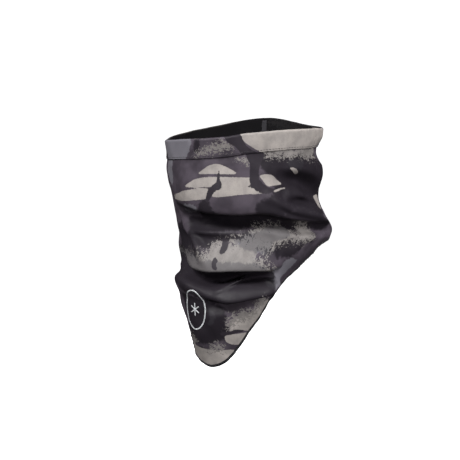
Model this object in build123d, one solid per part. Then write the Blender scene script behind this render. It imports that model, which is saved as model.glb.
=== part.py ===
"""Neck gaiter: a softshell tube with a folded collar band, a fleece lining, a bound hem and a pointed
bib that hangs over the chest. Millimetres, +Z up, the wearer faces -Y and their left hand is +X.
The origin is on the neck's axis, level with the base of the neck.

Every sheet follows one skin. A place on the skin is (across, height): across runs round the tube from
0 at the centre front to 1 at the centre back on the wearer's left, and to -1 on their right. Height is Z.
The shell's outer face lies on the skin, and every other face is offset from it along its normal.
"""

from build123d import *
import math
import os

os.makedirs("parts", exist_ok=True)

# --- driving dimensions -------------------------------------------------------------------------------
SHELL_THICK = 0.9
FLEECE_THICK = 1.2
LAYER_GAP = 0.15
BAND_WIDTH = 21.0
BAND_THICK = 0.9
BINDING_WIDTH = 3.4
BINDING_THICK = 0.5
THREAD_THICK = 0.3
THREAD_WIDTH = 0.8
TOPSTITCH_INSET = 2.2
FLATLOCK_WIDTH = 4.0
TAPE_WIDTH = 6.0
TAPE_THICK = 0.4
SEAM_ACROSS = 1.1  # the back seam has turned a little to the wearer's right
SEAM_GAP = 0.0006  # share of the skin left open where a panel's two ends meet
SKIN_ROWS = 36  # rows of points down a panel
SKIN_COLUMNS = 64  # points round the tube
HEM_COLUMNS = 80  # points along the hem, which turns more sharply
FOLD_ROWS = 6  # steps round the half turn of a folded strip
BAND_LEAF_ROWS = 5
BINDING_LEAF_ROWS = 3
STITCH_ROWS = 3
SEAM_ROWS = 14
SEAM_END_GAP = 1.0  # between the back seam's stitches and the band above or the binding below
TAPE_ROWS = 40
TAPE_RIM_GAP = 3.0
TAPE_STEP_FROM = 0.01  # where the tape starts to step down past the band's leaf, as a share of its length
TAPE_STEP_RUN = 0.05  # share of the tape's length that the step takes
EMBLEM_WIDTH = 30.0
EMBLEM_TALL = 44.0
EMBLEM_LINE = 1.3
EMBLEM_THICK = 0.2
EMBLEM_HEIGHT = -74.0
EMBLEM_STAR = 14.0
FILM_COLUMNS = 12
FILM_ROWS = 10
FILM_MARGIN = 1.15  # how far the film that the emblem is cut from reaches past it
EMBLEM_ACROSS = -0.044  # 12 mm to the wearer's right of the centre front

# Levels and insets that follow from the layers.
LAYERS = SHELL_THICK + LAYER_GAP + FLEECE_THICK
EDGE_CLEAR = 0.2  # between the panels' cut edges and the fold that covers them
EDGE_IN_BAND = LAYERS / 2 + LAYER_GAP + BAND_THICK + EDGE_CLEAR
EDGE_IN_BINDING = LAYERS / 2 + LAYER_GAP + BINDING_THICK + EDGE_CLEAR
THREAD_CLEAR = 0.12
BAND_TOP = LAYER_GAP / 2 + BAND_THICK + THREAD_CLEAR
BINDING_TOP = LAYER_GAP / 2 + BINDING_THICK + THREAD_CLEAR

# Horizontal sections of the worn gaiter: height, centre along Y, half depth along Y, half width along X.
SECTIONS = [
    (124, 0, 91, 85),
    (110, 0, 90, 84),
    (90, -1, 87, 82),
    (70, 2, 89, 84),
    (43, 3, 83, 78),
    (22, 12, 84, 81),
    (3, 19, 87, 86),
    (-14, 5, 78, 80),
    (-32, -10, 67, 69),
    (-50, -20, 60, 61),
    (-68, -28, 52, 53),
    (-96, -35, 42, 42),
    (-124, -37, 33, 33),
    (-150, -38, 26, 26),
]
# Height of the rim at angles round it, in degrees from the centre front towards the wearer's left.
# The first and last rows repeat the ones a full turn away, so that the rim closes smoothly.
RIM = [
    (-110, 115),
    (-57, 105.5),
    (0, 107.5),
    (20, 109.7),
    (38, 113.7),
    (80, 117.5),
    (123, 117.5),
    (160, 120.5),
    (198, 127.5),
    (250, 115),
    (303, 105.5),
    (360, 107.5),
]
# Height of the hem at distances from the centre front along the cloth, mirrored at the front and the back.
HEM = [
    (-20, -130),
    (0, -137),
    (20, -130),
    (40, -111),
    (60, -88),
    (80, -64),
    (105, -41),
    (140, -20),
    (190, -4),
    (270, 4),
    (350, -4),
]
RIM_FROM = -57  # the rim's angles are read from here on
HALF_GIRTH = 270.0  # half the cloth's width, where the centre back is
WRAP_START = -3.0  # the tube is closed all the way round above this height
WRAP_FADE = 20.0


def between(table, at, column=1):
    """Smooth value of a table at a place, through its rows, with tangents from the neighbouring rows."""
    rows = sorted(table)
    at = min(max(at, rows[0][0]), rows[-1][0])
    k = next(i for i in range(1, len(rows)) if at <= rows[i][0] or i == len(rows) - 1)

    def slope(i):
        low, high = rows[max(i - 1, 0)], rows[min(i + 1, len(rows) - 1)]
        return (high[column] - low[column]) / (high[0] - low[0])

    (x0, x1), (y0, y1) = (rows[k - 1][0], rows[k][0]), (rows[k - 1][column], rows[k][column])
    run = x1 - x0
    t = (at - x0) / run
    keep = (1 + 2 * t) * (1 - t) ** 2 * y0 + t * t * (3 - 2 * t) * y1
    return keep + run * (t * (1 - t) ** 2 * slope(k - 1) - t * t * (1 - t) * slope(k))


def rim_height(across):
    angle = (across * 180 - RIM_FROM) % 360 + RIM_FROM
    return between(RIM, angle)


def hem_height(across):
    return between(HEM, abs((across + 1) % 2 - 1) * HALF_GIRTH)


def girth_radius(height):
    return math.sqrt((between(SECTIONS, height, 2) ** 2 + between(SECTIONS, height, 3) ** 2) / 2)


def smooth_step(share):
    share = min(max(share, 0), 1)
    return share * share * (3 - 2 * share)


def wrap(height):
    """Below the neck's base the sections shrink, so the same cloth wraps further round them."""
    return 1 + (girth_radius(0) / girth_radius(height) - 1) * smooth_step((WRAP_START - height) / WRAP_FADE)


def skin(across, height):
    """Point of the skin."""
    turn = across * math.pi * wrap(height)
    centre, depth, width = (between(SECTIONS, height, c) for c in (1, 2, 3))
    return Vector(width * math.sin(turn), centre - depth * math.cos(turn), height)


def normal(across, height):
    along = skin(across + 0.002, height) - skin(across - 0.002, height)
    up = skin(across, height + 0.5) - skin(across, height - 0.5)
    return along.cross(up).normalized()


def offset(across, height, out):
    return skin(across, height) + normal(across, height) * out


def stretch(edge, across):
    """How much further a width runs up the skin than straight in from a slanting edge."""
    step = 0.004
    rise = edge(across + step) - edge(across - step)
    run = 2 * step * HALF_GIRTH
    return math.sqrt(1 + (rise / run) ** 2)


def inset(edge, across, distance):
    """Height of the point that lies this far in from an edge: below the rim or above the hem."""
    way = -1 if edge is rim_height else 1
    return edge(across) + way * distance * stretch(edge, across)


def outward(edge, across):
    """Direction in the skin that leads out over an edge, square to it."""
    step = 0.004
    ahead = skin(across + step, edge(across + step)) - skin(across - step, edge(across - step))
    out = normal(across, edge(across)).cross(ahead).normalized()
    return out if edge is rim_height else -out


def steps(low, high, count):
    return [low + (high - low) * i / count for i in range(count + 1)]


def face(rows):
    """Smooth face through rows of points, each row a spline round the tube."""
    return Shell.make_loft([Wire([Edge.make_spline(row)]) for row in rows]).faces()[0]


def slab(outer, inner):
    """Closed solid between two skins, each a list of grids that start where the last one ends."""
    faces = []
    for i, (a, b) in enumerate(zip(outer, inner)):
        face_a, face_b = face(a), face(b)
        top, right, bottom, left = zip(face_a.edges(), face_b.edges())
        ends = [right, left] + [top] * (i == 0) + [bottom] * (i == len(outer) - 1)
        faces += [face_a, face_b] + [Face.make_surface_from_curves(*pair) for pair in ends]
    solid = Solid(Shell(Face.sew_faces(faces)[0]))
    if not solid.is_valid:
        raise ValueError("a slab's faces don't close")
    return solid


def round_the_tube(count):
    """Places across, from one side of the back seam right round to the other."""
    return steps(SEAM_ACROSS - 2 + SEAM_GAP, SEAM_ACROSS - SEAM_GAP, count)


def panel(out, thick):
    """Sheet from near the rim to near the hem, whose outer face is offset from the skin by out."""
    places = round_the_tube(SKIN_COLUMNS)

    def height(a, t):
        return (1 - t) * inset(rim_height, a, EDGE_IN_BAND) + t * inset(hem_height, a, EDGE_IN_BINDING)

    def grid(level):
        return [[offset(a, height(a, t), level) for a in places] for t in steps(0, 1, SKIN_ROWS)]

    return slab([grid(out)], [grid(out - thick)])


def strip(edge, places, near, far, out, thick):
    """Sheet that follows an edge, between two distances in from it."""

    def grid(level):
        return [[offset(a, inset(edge, a, d), level) for a in places] for d in steps(near, far, STITCH_ROWS)]

    return slab([grid(out)], [grid(out - thick)])


def folded(edge, places, width, thick, leaf_rows):
    """Strip folded over an edge: an outer leaf, a round fold and an inner leaf, all one solid."""
    clear = LAYER_GAP / 2
    middle = -LAYERS / 2
    inner_radius = -middle + clear
    outer_radius = inner_radius + thick
    centre_in = outer_radius

    def leaf(level):
        distances = steps(width, centre_in, leaf_rows)
        return [[offset(a, inset(edge, a, d), level) for a in places] for d in distances]

    def bend(a, radius, turn):
        """Point of the fold, from the outer leaf's end at no turn to the inner leaf's at half a turn."""
        centre = offset(a, inset(edge, a, centre_in), middle)
        level = normal(a, inset(edge, a, centre_in)) * (radius * math.cos(turn))
        return centre + level + outward(edge, a) * (radius * math.sin(turn))

    def grids(radius):
        fold = [[bend(a, radius, turn) for a in places] for turn in steps(0, math.pi, FOLD_ROWS)]
        return [leaf(middle + radius), fold, leaf(middle - radius)[::-1]]

    return slab(grids(outer_radius), grids(inner_radius))


def upright(out, thick, width, top, bottom, rows):
    """Narrow strip that runs down the tube, centred on the back seam. out gives its level at a height."""
    half = width / 2 / HALF_GIRTH
    places = steps(SEAM_ACROSS - half, SEAM_ACROSS + half, 4)

    def grid(extra):
        shares = steps(0, 1, rows)
        return [[offset(a, top + (bottom - top) * t, out(t) - extra) for a in places] for t in shares]

    return slab([grid(0)], [grid(thick)])


def outer_shell():
    return panel(0, SHELL_THICK)


def fleece_lining():
    return panel(-SHELL_THICK - LAYER_GAP, FLEECE_THICK)


def collar_band():
    return folded(rim_height, round_the_tube(SKIN_COLUMNS), BAND_WIDTH, BAND_THICK, BAND_LEAF_ROWS)


def hem_binding():
    return folded(hem_height, round_the_tube(HEM_COLUMNS), BINDING_WIDTH, BINDING_THICK, BINDING_LEAF_ROWS)


def collar_topstitch():
    row = BAND_WIDTH - TOPSTITCH_INSET
    level = BAND_TOP + THREAD_THICK
    return strip(rim_height, round_the_tube(SKIN_COLUMNS), row, row + THREAD_WIDTH, level, THREAD_THICK)


def hem_topstitch():
    row = BINDING_WIDTH - TOPSTITCH_INSET / 2
    level = BINDING_TOP + THREAD_THICK
    return strip(hem_height, round_the_tube(HEM_COLUMNS), row, row + THREAD_WIDTH, level, THREAD_THICK)


def back_seam_flatlock():
    """Cover stitches over the back seam, from under the collar band to above the binding."""
    top = inset(rim_height, SEAM_ACROSS, BAND_WIDTH + SEAM_END_GAP)
    bottom = inset(hem_height, SEAM_ACROSS, BINDING_WIDTH + SEAM_END_GAP)
    level = THREAD_CLEAR + THREAD_THICK
    return upright(lambda t: level, THREAD_THICK, FLATLOCK_WIDTH, top, bottom, SEAM_ROWS)


def back_seam_tape():
    """Soft tape over the inside of the back seam. It steps off the band's inner leaf on to the fleece."""
    top = inset(rim_height, SEAM_ACROSS, TAPE_RIM_GAP)
    bottom = inset(hem_height, SEAM_ACROSS, BINDING_WIDTH + SEAM_END_GAP)
    on_band = -SHELL_THICK - LAYER_GAP - FLEECE_THICK - BAND_THICK - LAYER_GAP
    on_fleece = on_band + BAND_THICK
    leaf_end = (BAND_WIDTH - TAPE_RIM_GAP) / (top - bottom)

    def level(t):
        step = smooth_step((t - leaf_end - TAPE_STEP_FROM) / TAPE_STEP_RUN)
        return on_band + (on_fleece - on_band) * step

    return upright(level, TAPE_THICK, TAPE_WIDTH, top, bottom, TAPE_ROWS)


def star_shape():
    """Three crossed bars."""
    bars = [Rectangle(EMBLEM_LINE, EMBLEM_STAR).rotate(Axis.Z, a) for a in (0, 60, 120)]
    return bars[0] + bars[1] + bars[2]


def chest_emblem():
    """Raised print on the bib: an upright oval ring round a star of three bars, wrapped on to the skin."""
    half = FILM_MARGIN * EMBLEM_WIDTH / 2 / HALF_GIRTH
    places = steps(EMBLEM_ACROSS - half, EMBLEM_ACROSS + half, FILM_COLUMNS)
    reach = FILM_MARGIN * EMBLEM_TALL / 2
    heights = [EMBLEM_HEIGHT + h for h in steps(reach, -reach, FILM_ROWS)]

    def grid(level):
        return [[offset(a, height, level) for a in places] for height in heights]

    film = slab([grid(THREAD_CLEAR + EMBLEM_THICK)], [grid(THREAD_CLEAR)])
    ring = Ellipse(EMBLEM_WIDTH / 2, EMBLEM_TALL / 2)
    ring -= Ellipse(EMBLEM_WIDTH / 2 - EMBLEM_LINE, EMBLEM_TALL / 2 - EMBLEM_LINE)
    centre = skin(EMBLEM_ACROSS, EMBLEM_HEIGHT)
    out = normal(EMBLEM_ACROSS, EMBLEM_HEIGHT)
    ahead = Vector(-out.Y, out.X, 0).normalized()
    plane = Plane(origin=centre, x_dir=ahead, z_dir=Vector(ahead.Y, -ahead.X, 0))
    cutter = extrude(plane * (ring + star_shape()), amount=EMBLEM_WIDTH / 2, both=True)
    return film & cutter


NODES = [
    outer_shell,
    fleece_lining,
    collar_band,
    hem_binding,
    collar_topstitch,
    hem_topstitch,
    back_seam_flatlock,
    back_seam_tape,
    chest_emblem,
]
for build in NODES:
    export_step(build(), f"parts/{build.__name__}.step")
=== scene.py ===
"""Looks of a fleece-lined camouflage neck gaiter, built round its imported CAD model.

Lengths are in millimetres, as in the CAD source, and turn into metres when a mesh is made. Every layer
follows one worn cloth: a place on it is (along, height), where along is the distance round the tube from
the centre front towards the wearer's left, and height is Z before the cloth slumped into its folds.
"""

import bpy
import itertools
import math
import numpy as np
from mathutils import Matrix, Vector


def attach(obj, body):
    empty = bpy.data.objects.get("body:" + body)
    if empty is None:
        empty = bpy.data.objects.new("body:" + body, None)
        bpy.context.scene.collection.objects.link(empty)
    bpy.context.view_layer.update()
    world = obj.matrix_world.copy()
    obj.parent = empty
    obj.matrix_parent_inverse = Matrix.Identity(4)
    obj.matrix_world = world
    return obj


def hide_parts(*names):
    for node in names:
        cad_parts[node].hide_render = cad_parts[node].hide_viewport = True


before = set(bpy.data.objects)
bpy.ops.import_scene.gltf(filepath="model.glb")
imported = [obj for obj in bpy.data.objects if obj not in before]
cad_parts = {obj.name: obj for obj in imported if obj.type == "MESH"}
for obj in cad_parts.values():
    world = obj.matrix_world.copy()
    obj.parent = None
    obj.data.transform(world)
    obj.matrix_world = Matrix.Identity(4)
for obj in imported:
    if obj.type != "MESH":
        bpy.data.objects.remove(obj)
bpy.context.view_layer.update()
MM = 0.001


# --- the worn cloth
SHELL_THICK = 0.9
FLEECE_THICK = 1.2
LAYER_GAP = 0.15
BAND_WIDTH = 21.0
BAND_THICK = 0.9
BINDING_WIDTH = 3.4
BINDING_THICK = 0.5
HALF_GIRTH = 270.0
SEAM_ALONG = 297.0  # the back seam has turned a little to the wearer's right
TOPSTITCH_INSET = 2.2
LAYERS = SHELL_THICK + LAYER_GAP + FLEECE_THICK
MIDDLE = -LAYERS / 2
EDGE_ROOM = 0.2  # between a panel's cut edge and the strip folded over it
EDGE_IN_BAND = LAYERS / 2 + LAYER_GAP + BAND_THICK + EDGE_ROOM
EDGE_IN_BINDING = LAYERS / 2 + LAYER_GAP + BINDING_THICK + EDGE_ROOM

# Horizontal sections: height, centre along Y, half depth along Y, half width along X.
SECTIONS = [
    (124, 0, 91, 85),
    (110, 0, 90, 84),
    (90, -1, 87, 82),
    (70, 2, 89, 84),
    (43, 3, 83, 78),
    (22, 12, 84, 81),
    (3, 19, 87, 86),
    (-14, 5, 78, 80),
    (-32, -10, 67, 69),
    (-50, -20, 60, 61),
    (-68, -28, 52, 53),
    (-96, -35, 42, 42),
    (-124, -37, 33, 33),
    (-150, -38, 26, 26),
]
# Height of the rim at angles round it, in degrees from the centre front.
RIM = [
    (-110, 115), (-57, 105.5), (0, 107.5), (20, 109.7), (38, 113.7), (80, 117.5), (123, 117.5),
    (160, 120.5), (198, 127.5), (250, 115), (303, 105.5), (360, 107.5),
]
RIM_START = -57  # the rim's angles are read from here round
# Height of the hem at distances from the centre front.
HEM = [
    (-20, -130), (0, -137), (20, -130), (40, -111), (60, -88), (80, -64), (105, -41), (140, -20),
    (190, -4), (270, 4), (350, -4),
]
WRAP_START = -3.0
WRAP_FADE = 20.0

# Folds that run round the tube. Each row is a place on its crest: along, height, how far it stands out,
# how far it hangs down, and its reach above and below the crest. Between rows the values run smoothly.
# Left and right are the wearer's.
FOLDS = {
    "slump over the front": [
        (-100, 54, 0, 0, 20, 10),
        (-60, 48, 1, 2, 26, 14),
        (-30, 45, 4, 4, 30, 14),
        (0, 43, 7, 7, 34, 15),
        (40, 42, 9, 9, 36, 15),
        (70, 43, 9, 10, 28, 14),
        (100, 34, 8, 10, 20, 12),
        (135, 26, 7, 8, 14, 10),
        (165, 20, 4, 5, 12, 9),
        (200, 16, 0, 0, 12, 8),
    ],
    "hollow under the slump": [
        (-80, 20, 0, 0, 12, 12),
        (-45, 20, -3, 0, 14, 12),
        (-20, 21, -8, 0, 14, 13),
        (0, 22, -11, 0, 15, 14),
        (60, 22, -12, 0, 15, 14),
        (110, 14, -11, 0, 12, 13),
        (150, 8, -6, 0, 9, 10),
        (185, 6, 0, 0, 10, 10),
    ],
    "crease under the hollow": [
        (-32, 9, 0, 0, 5, 5),
        (-18, 8, 2.5, 0, 5, 5),
        (10, 8, 3, 0, 5, 6),
        (38, 9, 0, 0, 5, 5),
    ],
    "big roll": [
        (-80, -10, 0, 0, 12, 10),
        (-45, -16, 0.5, 2, 20, 12),
        (-15, -21, 5, 7, 26, 13),
        (5, -21, 9, 12, 28, 12),
        (30, -17, 12, 15, 28, 11),
        (55, -16, 11, 14, 26, 11),
        (74, -19, 8, 10, 18, 9),
        (88, -25, 0, 0, 10, 6),
    ],
    "pocket under the big roll": [
        (-88, -24, 0, 0, 16, 9),
        (-62, -25, -8, 0, 18, 9),
        (-40, -30, -10, 0, 15, 10),
        (-10, -39, -14, 0, 10, 10),
        (15, -40, -16, 0, 10, 11),
        (40, -38, -15, 0, 9, 11),
        (62, -37, -12, 0, 8, 10),
        (84, -38, 0, 0, 7, 8),
    ],
    "thin ridge in the pocket": [
        (12, -50, 0, 0, 5, 5),
        (26, -45, 7, 1, 5, 5),
        (44, -38, 14, 2, 5, 5),
        (62, -36, 14, 2, 5, 5),
        (76, -38, 9, 1, 5, 5),
        (88, -45, 0, 0, 5, 5),
    ],
    "lower roll": [
        (-84, -46, 0, 0, 6, 8),
        (-58, -43, 6, 0, 7, 16),
        (-25, -47, 5, 1, 8, 18),
        (0, -54, 5, 1, 9, 11),
        (14, -56, 6.5, 4, 10, 10),
        (28, -56, 8, 7, 10, 10),
        (50, -52, 8, 7, 9, 9),
        (74, -48, 7, 6, 8, 8),
        (92, -45, 0, 0, 6, 6),
    ],
    "crease above the bib": [
        (2, -70, 0, 0, 6, 9),
        (12, -68, -3.5, 0, 7, 12),
        (22, -66, -6, 0, 7, 14),
        (45, -62, -6, 0, 7, 14),
        (68, -57, -5, 0, 6, 10),
        (92, -50, 0, 0, 5, 6),
    ],
    "ridge on the right cheek": [
        (-60, 32, 0, 0, 9, 9),
        (-44, 16, 3, 0, 10, 9),
        (-26, 3, 5, 0, 10, 9),
        (-8, -8, 4, 0, 9, 9),
        (8, -16, 0, 0, 8, 8),
    ],
    "dent on the left side": [
        (84, 68, 0, 0, 10, 8),
        (100, 64, -6, 0, 13, 9),
        (120, 60, -9, 0, 16, 10),
        (140, 54, -8, 0, 16, 12),
        (168, 46, 0, 0, 12, 10),
    ],
    "tuck at the right side": [
        (-150, 0, 0, 0, 40, 30),
        (-100, -8, -3, 0, 40, 40),
        (-66, -14, -8, 0, 38, 44),
        (-42, -18, -6, 0, 34, 44),
        (-16, -22, 0, 0, 26, 30),
    ],
    "tuck under the collar": [
        (116, 90, 0, 0, 12, 10),
        (150, 91, -3, 0, 16, 14),
        (175, 92, -5, 0, 18, 16),
        (205, 92, -2, 0, 16, 14),
        (235, 90, 0, 0, 12, 10),
    ],
    "ridge over the left of the hollow": [
        (66, 58, 0, 0, 5, 5),
        (81, 52, 3, 0, 5, 5),
        (101, 42, 4.5, 1, 5, 5),
        (122, 35, 5, 1, 5, 6),
        (140, 29, 4.5, 1, 5, 6),
        (158, 20, 3, 0, 5, 6),
        (178, 10, 0, 0, 5, 6),
    ],
    "small bump in the dent": [
        (92, 50, 0, 0, 6, 6),
        (104, 50, 4.5, 1, 7, 6),
        (122, 47, 4, 1, 7, 6),
        (140, 42, 0, 0, 6, 6),
    ],
}
# Folds that run up the tube: height, along, how far it stands out, and its reach to both sides.
UPRIGHT_FOLDS = {
    "pinch at the left end of the collar": [
        (70, 150, 0, 7),
        (88, 151, -2.5, 6),
        (100, 150, -4.5, 5),
        (112, 149, -4, 5),
        (128, 149, -2.5, 5),
    ],
    "ridge in the dent": [
        (74, 126, 0, 7),
        (64, 124, 3, 7),
        (56, 119, 4.5, 6),
        (50, 110, 3.5, 6),
        (42, 104, 0, 6),
    ],
    "crease down the bib": [
        (-124, 8, 0, 9),
        (-100, 10, 0.8, 10),
        (-80, 9, 1.2, 10),
        (-66, 8, 0, 9),
    ],
}


def between(table, at, column=1):
    """Smooth values of a table at places, through its rows, with tangents from the neighbouring rows."""
    rows = np.array(sorted(table), float)
    x, y = rows[:, 0], rows[:, column]
    slope = np.gradient(y, x)
    slope[1:-1] = (y[2:] - y[:-2]) / (x[2:] - x[:-2])
    at = np.clip(at, x[0], x[-1])
    k = np.clip(np.searchsorted(x, at), 1, len(x) - 1)
    run = x[k] - x[k - 1]
    t = (at - x[k - 1]) / run
    keep = (1 + 2 * t) * (1 - t) ** 2 * y[k - 1] + t * t * (3 - 2 * t) * y[k]
    return keep + run * (t * (1 - t) ** 2 * slope[k - 1] - t * t * (1 - t) * slope[k])


def smooth_step(share):
    """Goes from 0 to 1 with no corner at either end."""
    share = np.clip(share, 0, 1)
    return share * share * (3 - 2 * share)


def rim_height(along):
    angle = (along / HALF_GIRTH * 180 - RIM_START) % 360 + RIM_START
    return between(RIM, angle)


def hem_height(along):
    return between(HEM, np.abs((along / HALF_GIRTH + 1) % 2 - 1) * HALF_GIRTH)


def girth_radius(height):
    """Radius of a circle about as long round as the section."""
    return np.sqrt((between(SECTIONS, height, 2) ** 2 + between(SECTIONS, height, 3) ** 2) / 2)


def wrap(height):
    """Below the neck's base the sections shrink, so the same cloth wraps further round them."""
    below = smooth_step((WRAP_START - height) / WRAP_FADE)
    return 1 + (girth_radius(0.0) / girth_radius(height) - 1) * below


def skin(along, height):
    """Point of the smooth skin, before any fold."""
    turn = along / HALF_GIRTH * np.pi * wrap(height)
    centre, depth, width = (between(SECTIONS, height, c) for c in (1, 2, 3))
    return np.stack([width * np.sin(turn), centre - depth * np.cos(turn), height + 0 * turn], -1)


def unit(vectors):
    return vectors / np.linalg.norm(vectors, axis=-1, keepdims=True)


def normal_of(surface, along, height, step=0.4):
    sideways = surface(along + step, height) - surface(along - step, height)
    up = surface(along, height + step) - surface(along, height - step)
    return unit(np.cross(sideways, up))


def bump(reach):
    """Rises from 0 at a reach of 1 to 1 at 0, smoothly."""
    return np.clip(1 - reach * reach, 0, 1) ** 2


def fold_shift(along, height):
    """How far the folds push the cloth out and down."""
    out = np.zeros_like(along + height)
    drop = np.zeros_like(out)
    for rows in FOLDS.values():
        crest, stands, hangs, above, below = (between(rows, along, c) for c in range(1, 6))
        inside = (along > rows[0][0]) & (along < rows[-1][0])
        away = height - crest
        share = bump(away / np.where(away > 0, above, below)) * inside
        out = out + stands * share
        drop = drop + hangs * share
    for rows in UPRIGHT_FOLDS.values():
        crest, stands, reach = (between(rows, height, c) for c in range(1, 4))
        inside = (height > rows[0][0]) & (height <= rows[-1][0])
        out = out + stands * bump((along - crest) / reach) * inside
    return out, drop


# Gentle waves that keep the cloth from looking machined: length round the tube and up it, size, phase.
WAVES = [
    (90, 140, 0.7, 0.4),
    (61, -95, 0.5, 1.9),
    (47, 52, 0.35, 3.3),
    (33, -41, 0.25, 5.2),
    (19, 27, 0.10, 0.9),
    (14, -23, 0.07, 2.6),
]


def ripple(along, height):
    return sum(
        size * np.sin(2 * np.pi * (along / round_it + height / up) + phase)
        for round_it, up, size, phase in WAVES
    )


GATHERS = [(8.7, 0.16, 0.0), (13.9, 0.096, 1.0)]  # length along, size, phase
GATHER_REACH_AT_COLLAR, GATHER_REACH_AT_HEM = 5.0, 7.0
SEAM_SINK = 0.35  # how far the collar's seam draws the cloth in


def pucker(along, height):
    """Small gathers that the stitches draw along the collar's seam and the hem."""
    below_seam = rim_height(along) - BAND_WIDTH - height
    at_collar = np.exp(-((below_seam / GATHER_REACH_AT_COLLAR) ** 2))
    at_hem = np.exp(-(((height - hem_height(along)) / GATHER_REACH_AT_HEM) ** 2))
    wave = sum(size * np.sin(2 * np.pi * along / length + phase) for length, size, phase in GATHERS)
    return wave * (at_collar + at_hem) - SEAM_SINK * at_collar


def worn(along, height):
    """Point of the worn cloth's outer face."""
    out, drop = fold_shift(along, height)
    out = out + ripple(along, height) + pucker(along, height)
    place = skin(along, height)
    place = place + normal_of(skin, along, height) * out[..., None]
    place[..., 2] -= drop
    return place


def cloth(along, height, out=0.0):
    """Point at a distance out from the worn cloth."""
    along, height = np.broadcast_arrays(np.asarray(along, float), np.asarray(height, float))
    out = np.asarray(out, float)
    return worn(along, height) + normal_of(worn, along, height) * (out[..., None] if out.ndim else out)


def stretch(edge, along):
    """How much further a width runs up the skin than straight in from a slanting edge."""
    slope = (edge(along + 1) - edge(along - 1)) / 2
    return np.sqrt(1 + slope ** 2)


def inset(edge, along, distance):
    """Height of the point that lies this far in from an edge: below the rim or above the hem."""
    way = -1 if edge is rim_height else 1
    return edge(along) + way * distance * stretch(edge, along)


# --- meshes
def steps(low, high, count):
    return np.linspace(low, high, count + 1)


def quads(rows, cols, start, turn):
    """Faces of a grid of points, turned over if asked."""
    r, c = np.meshgrid(np.arange(rows - 1), np.arange(cols - 1), indexing="ij")
    a = start + r * cols + c
    corners = [a, a + cols, a + cols + 1, a + 1]
    if turn:
        corners = corners[::-1]
    return np.stack(corners, -1).reshape(-1, 4)


def add_object(name, data):
    thing = bpy.data.objects.new(name, data)
    bpy.context.scene.collection.objects.link(thing)
    return thing


def new_piece(name, points, faces, smooth=None):
    """Mesh object from points in millimetres."""
    mesh = bpy.data.meshes.new(name)
    metres = np.asarray(points).reshape(-1, 3) * MM
    mesh.from_pydata(metres.tolist(), [], [list(map(int, f)) for f in faces])
    mesh.polygons.foreach_set("use_smooth", [True] * len(mesh.polygons) if smooth is None else smooth)
    mesh.update()
    return add_object(name, mesh)


def note_cloth(piece, places):
    """Keeps each point's place on the flat cloth, in millimetres, for the materials."""
    layer = piece.data.attributes.new("cloth", "FLOAT_VECTOR", "POINT")
    layer.data.foreach_set("vector", np.asarray(places, np.float32).reshape(-1))


def note_value(piece, name, values):
    layer = piece.data.attributes.new(name, "FLOAT", "POINT")
    layer.data.foreach_set("value", np.asarray(values, np.float32).reshape(-1))


def sheet_piece(name, outer, inner, places, turn=False):
    """Closed sheet between two grids of points, with its cut edges and its places on the flat cloth."""
    rows, cols = outer.shape[:2]
    count = rows * cols
    faces = [quads(rows, cols, 0, turn), quads(rows, cols, count, not turn)]
    grid = np.arange(count).reshape(rows, cols)
    rims = [grid[0], grid[-1][::-1], grid[:, 0][::-1], grid[:, -1]]
    for rim in rims:
        edge = np.stack([rim[:-1], rim[1:], rim[1:] + count, rim[:-1] + count], -1)
        faces.append(edge[:, ::-1] if turn else edge)
    flat = sum(len(f) for f in faces[2:])
    faces = np.concatenate(faces)
    smooth = [True] * (len(faces) - flat) + [False] * flat
    piece = new_piece(name, np.concatenate([outer.reshape(-1, 3), inner.reshape(-1, 3)]), faces, smooth)
    note_cloth(piece, np.concatenate([places.reshape(-1, 3)] * 2))
    return piece


SEAM_GAP = 0.15


def round_the_tube(count):
    """Places along, from one side of the back seam right round to the other."""
    return steps(SEAM_ALONG - 2 * HALF_GIRTH + SEAM_GAP, SEAM_ALONG - SEAM_GAP, count)


def even_heights(along, rim_inset, hem_inset, rows):
    """Heights of rows that lie evenly down the folded cloth, at each place along."""
    share = steps(0, 1, 4 * rows)[:, None]
    top, bottom = inset(rim_height, along, rim_inset), inset(hem_height, along, hem_inset)
    height = (1 - share) * top + share * bottom
    gone = np.linalg.norm(np.diff(worn(np.broadcast_to(along, height.shape), height), axis=0), axis=-1)
    run = np.concatenate([np.zeros((1, len(along))), np.cumsum(gone, axis=0)])
    even = steps(0, 1, rows)
    return np.stack([np.interp(even * r[-1], r, h) for r, h in zip(run.T, height.T)], -1)


def panel(name, out, thick, cols, rows):
    """Sheet from near the rim to near the hem."""
    height = even_heights(round_the_tube(cols), EDGE_IN_BAND, EDGE_IN_BINDING, rows)
    along = np.broadcast_to(round_the_tube(cols), height.shape)
    places = np.stack([along, height, 0 * along], -1)
    return sheet_piece(name, cloth(along, height, out), cloth(along, height, out - thick), places)


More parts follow.
